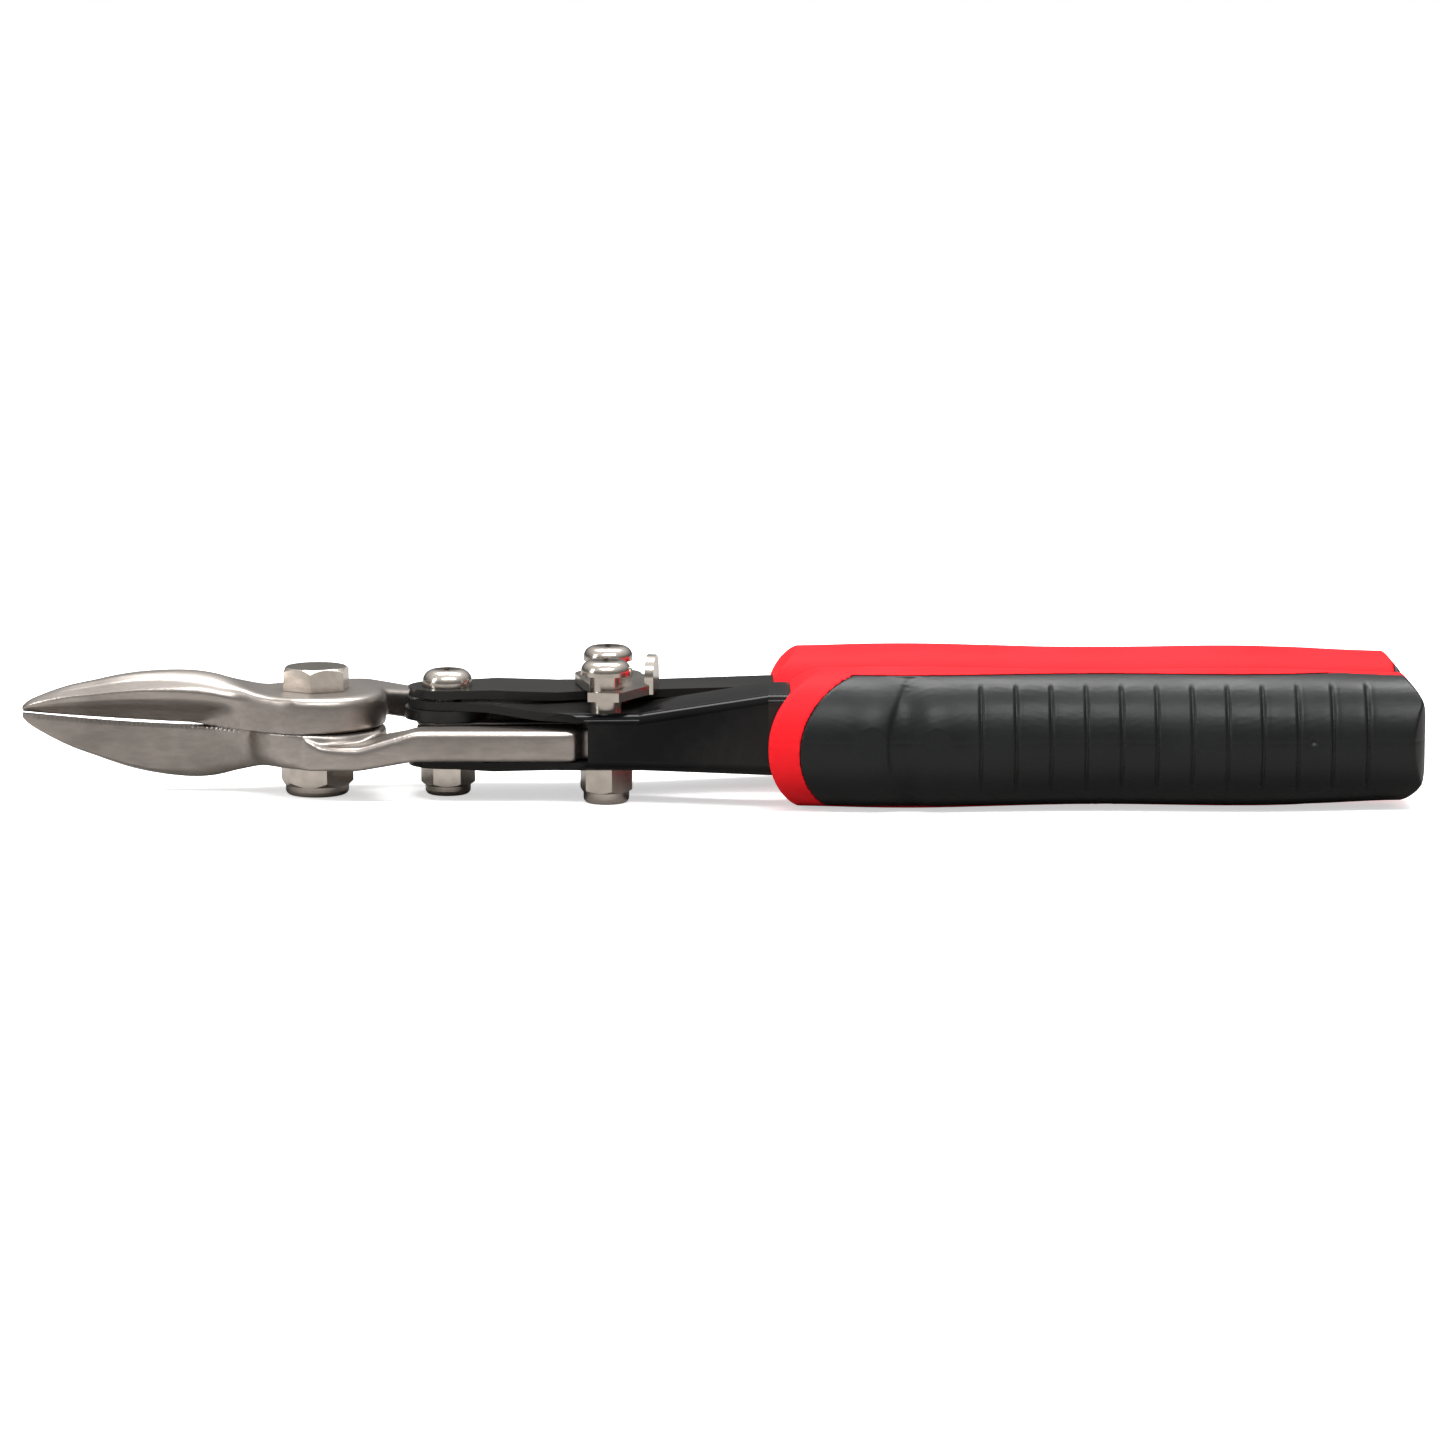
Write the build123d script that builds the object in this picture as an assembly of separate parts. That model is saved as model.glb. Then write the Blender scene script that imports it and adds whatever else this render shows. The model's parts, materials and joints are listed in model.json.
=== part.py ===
from build123d import *

import math
import os

# Compound-action aviation snips, closed and latched. Millimetres.
# Working frame: origin on the main pivot in the shear plane, +X towards the grips, +Z along the pivots.
# The far half of the tool is the near half turned half a turn about X.

# ---- driving dimensions -------------------------------------------------
TIP_X = -52.5
GRIP_END_X = 195.7
HALF_HEIGHT = 12.5            # from the shear plane to the lowest nut and the underside of the grips

DISC_R = 12.5                 # pivot plates
PLATE_Z = 6.4                 # outer face of each pivot plate
RECESS_Z = 2.0                # step outside the bearing boss
BLADE_HALF_GAP = 0.03
TIP_RISE = 2.3                # the shear line climbs this much between the boss and the tip
BOW = 0.16                    # half of the gap between the bowed edges at mid length
LAP = 0.5                     # each cutting edge passes the centre line by this much

PIVOT_X = 23.4                # handle pivot
TANG_X = 51.9                 # tang pivots
TANG_Y = 9.0
TANG_IN_Z = 1.1               # tang faces, near half: +1.1 down to -4.5
TANG_OUT_Z = -4.5
SHOULDER_X = 47.0
SHOULDER_Y = 15.5
TANG_END_R = 4.4

SHEET = 1.5                   # handle sheet
BEND_R = 2.0                  # outer radius of the bends
EAR_R = 7.0
EAR_OUT_Z = 7.0               # outer ear of each handle at the pivot
EAR_IN_Z = 5.0                # inner ear, outer face
FLANGE_OUT_Z = 6.1            # channel flanges behind the tang pivots
FLANGE_IN_Z = 4.1
FLANGE_GRIP_Z = 8.4           # the same flange at the grip
WEB_X = 48.8
GRIP_X = 80.6
CHANNEL_END_X = 150.0

BOLT_R = 3.5                  # main bolt
SCREW_R = 2.5                 # handle and tang screws
FIT = 0.05
OPEN_PIVOT_FIT = 0.30         # the loosened hole in the upper plate

HEX_AF = 10.8
NUT_AF = 11.6
SMALL_NUT_AF = 8.4
PAN_HEAD_R = 4.45
HEX_HEAD_TOP_Z = 10.5
PIVOT_HEAD_TOP_Z = 10.0       # pan head of the handle pivot
TANG_HEAD_TOP_Z = 12.9        # raised pan heads of the tang screws
TANG_SEAT_Z = 10.3
CROSS_SPAN = 4.2              # cross recess
CROSS_WIDTH = 0.9
CROSS_DEPTH = 1.8

LATCH_Z = 6.3
LATCH_T = 1.6
LATCH_RATIO = 1.5             # the latch swings this much for each degree that the handles open
LATCH_STEP_DEG = 1.0          # spacing of the cuts that free the near post
LATCH_CUTS = 16
POST_R = 2.85

GRIP_Y = 14.2                 # grip centre line
COLLAR_SETBACKS = (6.5, 12.5)  # how far the collar's front falls back, below and above
PANEL_X = 86.0                # front of the soft panel
PANEL_HEIGHTS = (-11.5, 11.5)
PANEL_SETBACKS = (4.5, 9.5)
SKIN = 2.4                    # soft panel thickness
END_PLAN_Y = -13.6            # plan outline that rounds the rear end of a grip
END_PLAN_WIDTH = 26.0
END_CORNER_R = 9.0

FRAME_X = -(TIP_X + GRIP_END_X) / 2
TURN_OVER = Rot(180, 0, 0)

# rows: x, height of the leaf above the shear line, width of its spine
LEAF = [
    (TIP_X, 1.1, 1.5),
    (-51.6, 2.0, 2.2),
    (-50.2, 2.9, 2.9),
    (-47.8, 4.1, 3.7),
    (-44.0, 5.7, 4.6),
    (-38.0, 7.5, 5.8),
    (-31.0, 9.2, 6.9),
    (-25.0, 9.9, 7.7),
    (-19.0, 9.8, 8.3),
    (-14.0, 8.4, 8.7),
    (-9.0, PLATE_Z, 9.0),
]


# ---- small helpers -------------------------------------------------------
def rod(x, y, z_low, z_high, radius):
    """A round bar along Z."""
    height = z_high - z_low
    return Pos(x, y, z_low + height / 2) * Cylinder(radius, height)


def tube(x, y, z_low, z_high, radius, bore):
    """A round bar along Z with a bore."""
    return rod(x, y, z_low, z_high, radius) - rod(x, y, z_low - 1, z_high + 1, bore)


def slab(sketch, z_low, z_high):
    """A plan sketch raised between two heights."""
    return Pos(0, 0, z_low) * extrude(sketch, z_high - z_low)


def side_cut(points, depth=60):
    """A closed outline in X and Z, carried through the whole depth of the tool."""
    outline = make_face(Polyline(*[(x, 0, z) for x, z in points], close=True))
    return extrude(outline, depth, both=True, dir=(0, 1, 0))


def hexagon(x, y, z_low, z_high, across_flats, turn=0.0):
    """A hexagonal bar whose outer corners are turned off at 30 degrees."""
    prism = extrude(RegularPolygon(across_flats / 2, 6, major_radius=False), z_high - z_low)
    corner = across_flats / math.sqrt(3)
    chamfer_h = (corner - across_flats / 2) * math.tan(math.radians(30)) * 1.6
    body = Pos(0, 0, (z_high - z_low) / 2) * Cylinder(corner, z_high - z_low)
    body = chamfer(body.edges().filter_by(GeomType.CIRCLE).group_by(Axis.Z)[-1], chamfer_h, 0.9)
    return Pos(x, y, z_low) * Rot(0, 0, turn) * (prism & body)


def shear_height(radius):
    """Height of the shear line at a distance from the main pivot."""
    run = max(0.0, (radius - DISC_R) / (-TIP_X - DISC_R))
    return TIP_RISE * run ** 1.7


def bow(radius):
    """Half of the gap between the two edges at a distance from the main pivot."""
    run = min(1.0, max(0.0, (radius - DISC_R) / (-TIP_X - DISC_R)))
    return BLADE_HALF_GAP + BOW * math.sin(math.pi * run)


# ---- blades --------------------------------------------------------------
def leaf_section(x, height, width, rise):
    """One cross-section of the leaf: flat bearing face, rounded spine and a hollow back."""
    edge = bow(abs(x))
    points = [
        (LAP, edge),
        (LAP, 0.93 * height),
        (LAP - 0.20 * width, height),
        (LAP - 0.50 * width, 0.98 * height),
        (LAP - 0.80 * width, 0.88 * height),
        (LAP - width, 0.69 * height),
        (LAP - 0.96 * width, 0.53 * height),
        (LAP - 0.76 * width, 0.40 * height),
        (LAP - 0.52 * width, 0.28 * height),
        (LAP - 0.36 * width, 0.15 * height + edge),
        (LAP - 0.20 * width, edge + 0.03 * height),
    ]
    return make_face(Polyline(*[(x, y, z + rise) for y, z in points], close=True))


def leaf(rise_sign):
    """The cutting part of a blade, as it stands on the upper side of the shear line."""
    sections = [leaf_section(x, h, w, rise_sign * shear_height(abs(x))) for x, h, w in LEAF]
    return loft(sections)


def tang_plan():
    """Plan of the pivot plate and tang of the upper blade."""
    disc = Circle(DISC_R)
    shoulder = Polyline(
        (-9.0, -8.5),
        (-13.5, 1.0),
        (-13.5, 3.0),
        (-9.0, 6.6),
        (-5.0, 10.3),
        (-1.0, 12.9),
        (5.0, 14.1),
        (12.0, 15.0),
        (17.0, SHOULDER_Y),
        (SHOULDER_X, SHOULDER_Y),
        (SHOULDER_X, TANG_Y + 3.0),
        (TANG_X, TANG_Y + TANG_END_R),
        (TANG_X, TANG_Y - TANG_END_R),
        (40.0, 7.4),
        (17.0, 8.4),
        (11.0, 3.0),
        (7.0, -9.5),
        close=True,
    )
    bar = fillet(make_face(shoulder).vertices().group_by(Axis.X)[-2], 1.4)
    return disc, bar, Pos(TANG_X, TANG_Y) * Circle(TANG_END_R)


def forging(rise_sign):
    """A whole blade in the upper position: leaf, pivot plate with its boss, and joggled tang."""
    disc, bar, end = tang_plan()
    # Side profile of plate and tang: outer face, joggle, and the step outside the boss.
    profile = side_cut([
        (-14.5, PLATE_Z),
        (8.0, PLATE_Z),
        (18.0, -TANG_OUT_Z),
        (60.0, -TANG_OUT_Z),
        (60.0, -TANG_IN_Z),
        (18.5, -TANG_IN_Z),
        (8.5, RECESS_Z),
        (1.5, RECESS_Z),
        (-3.0, BLADE_HALF_GAP),
        (-14.5, BLADE_HALF_GAP),
    ])
    tang = extrude(bar + end, 20, both=True) & profile
    plate = slab(disc, BLADE_HALF_GAP, PLATE_Z)
    plate = fillet(plate.edges().filter_by(GeomType.CIRCLE).group_by(Axis.Z)[-1], 1.6)
    # Flanks that carry the bearing face and the back of the leaf out to the rim of the plate.
    flanks = make_face(Polyline(
        (-23.0, LAP),
        (-18.0, LAP + 0.9),
        (-13.5, LAP + 3.0),
        (-9.0, 6.6),
        (-5.0, 10.3),
        (-1.0, 12.4),
        (0.0, 0.0),
        (-3.0, -12.1),
        (-8.0, -9.9),
        (-13.0, -7.8),
        close=True,
    ))
    under_spine = side_cut([
        (-23.0, 0.25 + BOW),
        (-23.0, 9.5),
        (-19.0, 9.2),
        (-14.0, 8.1),
        (-9.5, PLATE_Z + 0.3),
        (-7.0, PLATE_Z),
        (5.0, PLATE_Z),
        (5.0, BLADE_HALF_GAP),
        (-9.0, BLADE_HALF_GAP),
    ])
    neck = extrude(flanks, 20, both=True) & under_spine
    return plate + tang + leaf(rise_sign) + neck


def upper_blade():
    """Upper blade, with the loosened hole for the main bolt."""
    holes = rod(0, 0, -20, 20, BOLT_R + OPEN_PIVOT_FIT) + rod(TANG_X, TANG_Y, -20, 20, SCREW_R + FIT)
    return forging(1) - holes


def lower_blade():
    """Lower blade: the same forging turned over, its shear line following the upper one."""
    holes = rod(0, 0, -20, 20, BOLT_R) + rod(TANG_X, -TANG_Y, -20, 20, SCREW_R + FIT)
    return TURN_OVER * forging(-1) - holes


# ---- fasteners -----------------------------------------------------------
def cross_recess(x, y, z_top):
    """Two crossed slots of a cross recess."""
    slot = Pos(0, 0, -CROSS_DEPTH / 2) * Box(CROSS_SPAN, CROSS_WIDTH, CROSS_DEPTH)
    return Pos(x, y, z_top) * (slot + Rot(0, 0, 90) * slot)


def pan_screw(x, y, z_seat, z_top, z_end, head_r=PAN_HEAD_R):
    """Pan head screw: domed head, plain shank and a chamfered end."""
    head = rod(x, y, z_seat, z_top, head_r)
    head = fillet(head.edges().filter_by(GeomType.CIRCLE).group_by(Axis.Z)[-1], (z_top - z_seat) * 0.75)
    shank = rod(x, y, z_end, z_seat, SCREW_R)
    return head + shank - cross_recess(x, y, z_top)


def lock_nut(x, y, z_top, z_low, across_flats, bore, turn):
    """Nylon-insert nut: hexagon above, rounded collar below, with the ring's pocket."""
    collar_h = 0.3 * (z_top - z_low)
    hexagon_part = TURN_OVER * hexagon(0, 0, -z_top, -z_low - collar_h, across_flats, turn)
    collar = rod(0, 0, z_low, z_low + collar_h + 0.5, across_flats / 2 - 0.15)
    collar = fillet(collar.edges().filter_by(GeomType.CIRCLE).group_by(Axis.Z)[0], 0.9)
    pocket = rod(0, 0, z_low + 0.4, z_low + collar_h + 0.2, across_flats / 2 - 1.2)
    return Pos(x, y, 0) * (hexagon_part + collar - pocket - rod(0, 0, -30, 30, bore))


def nut_insert(x, y, z_top, z_low, across_flats, bore):
    """The nylon ring that fills the pocket of a lock nut."""
    collar_h = 0.3 * (z_top - z_low)
    return tube(x, y, z_low + 0.4, z_low + collar_h + 0.2, across_flats / 2 - 1.2, bore)


def main_pivot_bolt():
    """Hex head bolt; its head clears the upper plate, which turns under it."""
    head = hexagon(0, 0, PLATE_Z + 0.06, HEX_HEAD_TOP_Z, HEX_AF, 24.5)
    return head + rod(0, 0, -12.1, PLATE_Z + 0.5, BOLT_R)


# ---- handles -------------------------------------------------------------
def handle_outer(shrink):
    """Closed body of the near handle, its faces moved in by the given amount."""
    s = shrink
    side = side_cut([
        (15.0 - s, EAR_IN_Z - s),
        (31.0, EAR_IN_Z - s),
        (40.0, FLANGE_IN_Z - s),
        (57.5, FLANGE_IN_Z - s),
        (GRIP_X, FLANGE_GRIP_Z - s),
        (CHANNEL_END_X + s, FLANGE_GRIP_Z - s),
        (CHANNEL_END_X + s, s - FLANGE_OUT_Z),
        (43.0, s - FLANGE_OUT_Z),
        (32.0, s - EAR_OUT_Z),
        (15.0 - s, s - EAR_OUT_Z),
    ])
    inner_y = 40 * (1 if s else 0)
    plan = make_face(Polyline(
        (PIVOT_X, EAR_R + inner_y),
        (34.0, 5.6 + inner_y),
        (WEB_X, 0.4 + inner_y),
        (60.0, -1.4 + inner_y),
        (GRIP_X, -5.0 + inner_y),
        (CHANNEL_END_X + s, -8.0 + inner_y),
        (CHANNEL_END_X + s, s - 20.6),
        (GRIP_X, s - 20.6),
        (58.0, s - SHOULDER_Y),
        (WEB_X, s - SHOULDER_Y),
        (PIVOT_X + 1.5, -EAR_R - 40 * (1 if s else 0)),
        (PIVOT_X - 30 * (1 if s else 0), -EAR_R),
        close=True,
    ))
    ear = Pos(PIVOT_X, 0) * Circle(EAR_R)
    if s:
        ear = Pos(PIVOT_X, 0) * Rectangle(50, 100)
    return extrude(plan + ear, 30, both=True) & side


def runs_along_web(edge):
    """True for the outer bends between the web and the two flanges."""
    centre = edge.center()
    direction = edge % 0.5
    return centre.Y < -SHOULDER_Y + 0.3 and centre.X > WEB_X and abs(direction.X) > 0.5


def near_handle_channel():
    """Pressed channel: two ears at the pivot, flanges over the tang, and a web from the tang's end back."""
    outer = handle_outer(0)
    outer = fillet([edge for edge in outer.edges() if runs_along_web(edge)], BEND_R)
    shell = outer - handle_outer(SHEET)
    # No web ahead of the tang pivots: only the flanges run forward.
    window = Pos((WEB_X + 10) / 2, 0, 0) * Box(WEB_X - 10, 80, 2 * (FLANGE_IN_Z - SHEET))
    lower_window = slab(Pos(28.0, 0) * Rectangle(2 * (WEB_X - 28.0), 80), SHEET - FLANGE_OUT_Z, 0)
    shell = shell - window - lower_window
    holes = rod(PIVOT_X, 0, -20, 20, SCREW_R + FIT) + rod(TANG_X, -TANG_Y, -20, 20, SCREW_R)
    return shell - holes


def grip_section(x, half_width, half_height, centre_y):
    """One cross-section of a grip: a tall rounded oval."""
    plane = Plane((x, centre_y, 0), x_dir=(0, 1, 0), z_dir=(1, 0, 0))
    return plane * Ellipse(half_width, half_height)


# rows: x, half width, half height, centre line
GRIP_ROWS = [
    (GRIP_X - 1.0, 11.6, 12.3, -14.0),
    (93.0, 11.9, 12.3, -14.2),
    (104.0, 12.1, 12.45, -14.5),
    (116.0, 11.7, 12.3, -14.4),
    (150.0, 11.4, 12.0, -14.0),
    (180.0, 11.2, 11.7, -13.7),
    (GRIP_END_X + 1.0, 11.0, 11.5, -13.5),
]


def grip_body(inset=0.0):
    """The drawn-out form of the near grip, or the same form moved in."""
    return loft([grip_section(x, w - inset, h - inset, y) for x, w, h, y in GRIP_ROWS])


def round_ended(front_x, end_x, heights, setbacks, corner_r):
    """Side outline with a bowed front, set back at both corners, and rounded rear corners."""
    low, high = heights
    lower_front = (front_x + setbacks[0], 0, low)
    upper_front = (front_x + setbacks[1], 0, high)
    outline = make_face(Wire([
        ThreePointArc(lower_front, (front_x, 0, low / 5), upper_front),
        Line(upper_front, (end_x, 0, high)),
        Line((end_x, 0, high), (end_x, 0, low)),
        Line((end_x, 0, low), lower_front),
    ]))
    block = extrude(outline, 60, both=True, dir=(0, 1, 0))
    return fillet(block.edges().filter_by(Axis.Y).group_by(Axis.X)[-1], corner_r)


def end_dome():
    """Plan outline that rounds the rear end of the grip."""
    plan = Pos((GRIP_X + GRIP_END_X) / 2, END_PLAN_Y) * Rectangle(GRIP_END_X - GRIP_X + 2, END_PLAN_WIDTH)
    plan = fillet(plan.vertices().group_by(Axis.X)[-1], END_CORNER_R)
    return Pos(-1.0, 0, -30) * extrude(plan, 60)


def near_grip(channel):
    """Red sleeve, moulded round and into the channel, and the black panel that also closes the rear."""
    tall = (-13.0, 13.0)
    whole = grip_body() & round_ended(GRIP_X, GRIP_END_X, tall, COLLAR_SETBACKS, 9.5) & end_dome()
    core = grip_body(SKIN) & round_ended(GRIP_X - 3, GRIP_END_X - SKIN, tall, COLLAR_SETBACKS, 8.0)
    panel = round_ended(PANEL_X, GRIP_END_X + 5, PANEL_HEIGHTS, PANEL_SETBACKS, 1.0)
    outer_half = Pos(PANEL_X + 75, -GRIP_Y - 0.6 - 15, 0) * Box(160, 30, 60)
    end_cap = Pos(GRIP_END_X - SKIN + 10, -GRIP_Y, 0) * Box(20, 60, 60)
    cover = (whole - core) & ((panel & outer_half) + end_cap)
    return whole - cover - channel, cover - channel


# ---- pivot hardware ------------------------------------------------------
def spring_bush():
    """Flanged bush on the handle pivot: the flange spaces the ears, the hub carries the spring."""
    flange = tube(PIVOT_X, 0, 1.4, EAR_IN_Z - SHEET - 0.1, EAR_R + 0.6, SCREW_R + FIT)
    hub = tube(PIVOT_X, 0, -3.4, 1.4, 3.9, SCREW_R + FIT)
    return flange + hub


def handle_spring():
    """Torsion spring: two and a half turns and two legs that push the channels apart."""
    wire_r = 0.5
    coil_r = 5.0
    turns = 2.5
    pitch = 1.02
    z_low = -1.75
    height = turns * pitch
    coil = Pos(PIVOT_X, 0, z_low) * Rot(0, 0, 90) * Helix(pitch, height, coil_r)
    lengths = [sweep(Plane(coil @ 0, z_dir=coil % 0) * Circle(wire_r), coil, is_frenet=True)]
    for side, z in ((1, z_low), (-1, z_low + height)):
        start = Vector(PIVOT_X, side * coil_r, z)
        knee = Vector(57.0, side * 3.4, z)
        end = Vector(70.0, side * 14.6, z)
        leg = FilletPolyline(start, knee, end, radius=6)
        lengths.append(sweep(Plane(leg @ 0, z_dir=leg % 0) * Circle(wire_r), leg))
    return Compound(children=[length.solids()[0] for length in lengths])


def latch_plate():
    """Latch: turns on the far screw, hooks the near one, and ends in a thumb tab."""
    lobe_r = 6.0
    outline = Polyline(
        (TANG_X - lobe_r, TANG_Y),
        (TANG_X - 4.6, 1.6),
        (TANG_X - 3.0, -5.0),
        (TANG_X - 3.1, -14.9),
        (TANG_X + 2.4, -15.6),
        (TANG_X + 7.6, -6.3),
        (TANG_X + 8.6, 1.7),
        (TANG_X + lobe_r, TANG_Y),
        close=True,
    )
    sheet = make_face(outline) + Pos(TANG_X, TANG_Y) * Circle(lobe_r)
    tab = Box(LATCH_T, 8.0, 6.6)
    tab = fillet(tab.edges().filter_by(Axis.X).group_by(Axis.Z)[-1], 3.6)
    plate = slab(sheet, LATCH_Z, LATCH_Z + LATCH_T)
    plate += Pos(TANG_X + 8.0, -2.3, LATCH_Z + 3.3) * Rot(0, 0, -7) * tab
    return plate - hook_path() - rod(TANG_X, TANG_Y, 0, 20, SCREW_R + FIT)


def hook_path():
    """The way the near post leaves the hook while the handles part and the latch swings."""
    cut = rod(TANG_X, -TANG_Y, LATCH_Z - 1, LATCH_Z + LATCH_T + 1, POST_R + 0.3)
    for step in range(1, LATCH_CUTS + 1):
        opening = math.radians(step * LATCH_STEP_DEG)
        swing = LATCH_RATIO * opening
        arm_x = TANG_X - PIVOT_X
        post_x = arm_x * math.cos(opening) - TANG_Y * math.sin(opening) - arm_x
        post_y = -arm_x * math.sin(opening) - TANG_Y * math.cos(opening) - TANG_Y
        x = post_x * math.cos(swing) + post_y * math.sin(swing)
        y = -post_x * math.sin(swing) + post_y * math.cos(swing)
        cut += rod(TANG_X + x, TANG_Y + y, LATCH_Z - 1, LATCH_Z + LATCH_T + 1, POST_R + 0.3)
    return cut


def all_parts():
    """Every node of the tool, in the working frame."""
    near_channel = near_handle_channel()
    near_sleeve, near_cover = near_grip(near_channel)
    nut_low = -HALF_HEIGHT
    latch_top = LATCH_Z + LATCH_T
    parts = {
        "upper_blade": upper_blade(),
        "lower_blade": lower_blade(),
        "main_pivot_bolt": main_pivot_bolt(),
        "main_pivot_nut": lock_nut(0, 0, -PLATE_Z, nut_low, NUT_AF, BOLT_R, 11),
        "main_nut_insert": nut_insert(0, 0, -PLATE_Z, nut_low, NUT_AF, BOLT_R),
        "near_handle_channel": near_channel,
        "far_handle_channel": TURN_OVER * near_channel,
        "handle_pivot_screw": pan_screw(PIVOT_X, 0, EAR_OUT_Z + FIT, PIVOT_HEAD_TOP_Z, -12.0),
        "handle_pivot_nut": lock_nut(PIVOT_X, 0, -EAR_OUT_Z, nut_low, SMALL_NUT_AF, SCREW_R, 0),
        "handle_nut_insert": nut_insert(PIVOT_X, 0, -EAR_OUT_Z, nut_low, SMALL_NUT_AF, SCREW_R),
        "spring_bush": spring_bush(),
        "handle_spring": handle_spring(),
        "latch_plate": latch_plate(),
        "near_lower_spacer": tube(TANG_X, -TANG_Y, FLANGE_IN_Z, LATCH_Z, 2.75, SCREW_R),
        "near_upper_spacer": tube(TANG_X, -TANG_Y, LATCH_Z, TANG_SEAT_Z, POST_R, SCREW_R),
        "far_upper_spacer": tube(TANG_X, TANG_Y, latch_top + 0.7, TANG_SEAT_Z, POST_R, SCREW_R),
        "latch_spring_washer": tube(TANG_X, TANG_Y, latch_top + 0.05, latch_top + 0.7, 4.4, SCREW_R),
        "near_grip_sleeve": near_sleeve,
        "near_grip_cover": near_cover,
        "far_grip_sleeve": TURN_OVER * near_sleeve,
        "far_grip_cover": TURN_OVER * near_cover,
    }
    for name, side in (("near", -1), ("far", 1)):
        y = side * TANG_Y
        flange = -FLANGE_OUT_Z if side < 0 else -FLANGE_IN_Z
        nut_end = flange - (HALF_HEIGHT - FLANGE_OUT_Z)
        parts[f"{name}_tang_screw"] = pan_screw(TANG_X, y, TANG_SEAT_Z, TANG_HEAD_TOP_Z, nut_end + 0.5)
        parts[f"{name}_tang_nut"] = lock_nut(TANG_X, y, flange, nut_end, SMALL_NUT_AF, SCREW_R, 17)
        parts[f"{name}_nut_insert"] = nut_insert(TANG_X, y, flange, nut_end, SMALL_NUT_AF, SCREW_R)
        shim = (TANG_IN_Z + FIT, FLANGE_IN_Z - SHEET) if side < 0 else (SHEET - FLANGE_IN_Z, -TANG_IN_Z - FIT)
        parts[f"{name}_tang_washer"] = tube(TANG_X, y, *shim, 4.2, SCREW_R)
    return parts


os.makedirs("parts", exist_ok=True)
for node, shape in all_parts().items():
    solids = (Pos(FRAME_X, 0, HALF_HEIGHT) * shape).solids()
    placed = solids[0] if len(solids) == 1 else Compound(children=list(solids))
    export_step(placed, f"parts/{node}.step")
    print(node, len(solids), round(sum(s.volume for s in solids), 1))
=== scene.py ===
"""Looks of a pair of aviation snips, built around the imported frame. Metres, row frame."""

import json
import logging
import math
from dataclasses import dataclass, field
from enum import Enum
from typing import Callable, Iterable

import bpy
import numpy as np
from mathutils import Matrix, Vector

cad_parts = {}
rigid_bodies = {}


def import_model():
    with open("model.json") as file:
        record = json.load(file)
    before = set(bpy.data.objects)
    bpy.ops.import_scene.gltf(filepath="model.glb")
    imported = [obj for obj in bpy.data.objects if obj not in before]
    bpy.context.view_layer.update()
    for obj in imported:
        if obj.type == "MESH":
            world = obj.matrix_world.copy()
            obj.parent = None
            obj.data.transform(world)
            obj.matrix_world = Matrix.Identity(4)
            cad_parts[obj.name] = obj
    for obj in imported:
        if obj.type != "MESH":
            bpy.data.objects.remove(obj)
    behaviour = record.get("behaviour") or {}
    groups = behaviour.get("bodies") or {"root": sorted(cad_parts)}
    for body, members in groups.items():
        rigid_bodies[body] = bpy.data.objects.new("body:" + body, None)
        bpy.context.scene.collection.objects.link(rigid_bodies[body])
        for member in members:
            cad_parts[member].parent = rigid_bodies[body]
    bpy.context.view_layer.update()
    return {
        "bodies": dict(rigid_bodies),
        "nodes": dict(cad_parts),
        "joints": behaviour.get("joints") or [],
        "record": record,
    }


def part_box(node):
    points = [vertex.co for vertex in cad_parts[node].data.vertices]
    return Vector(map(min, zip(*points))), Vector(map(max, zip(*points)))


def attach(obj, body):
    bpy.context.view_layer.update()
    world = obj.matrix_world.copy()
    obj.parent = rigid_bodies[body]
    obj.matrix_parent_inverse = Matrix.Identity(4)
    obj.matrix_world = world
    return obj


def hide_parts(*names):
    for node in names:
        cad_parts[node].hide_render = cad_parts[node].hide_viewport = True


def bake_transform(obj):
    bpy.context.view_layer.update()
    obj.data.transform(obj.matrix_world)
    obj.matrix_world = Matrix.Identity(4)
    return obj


LOG = logging.getLogger("snips")
MM = 0.001
SHEAR_HEIGHT = 12.5 * MM  # from the floor to the plane that the two blades pass each other in
PLATE_RADIUS = 12.5 * MM  # pivot plates of the blades


class Slot(Enum):
    """Material slots of the record."""

    BLADE = "blade_steel"
    NICKEL = "plated_steel"
    SPRING = "spring_steel"
    ENAMEL = "handle_enamel"
    BLACK_NYLON = "black_nylon"
    NYLON = "insert_nylon"
    RED = "red_plastic"
    SOFT = "soft_grip"


class Side(Enum):
    """The two halves of the tool: the far half is the near half turned over about X."""

    NEAR = -1
    FAR = 1

    @property
    def word(self) -> str:
        """The word that starts the names of this half's nodes."""
        return "near" if self is Side.NEAR else "far"


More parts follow.
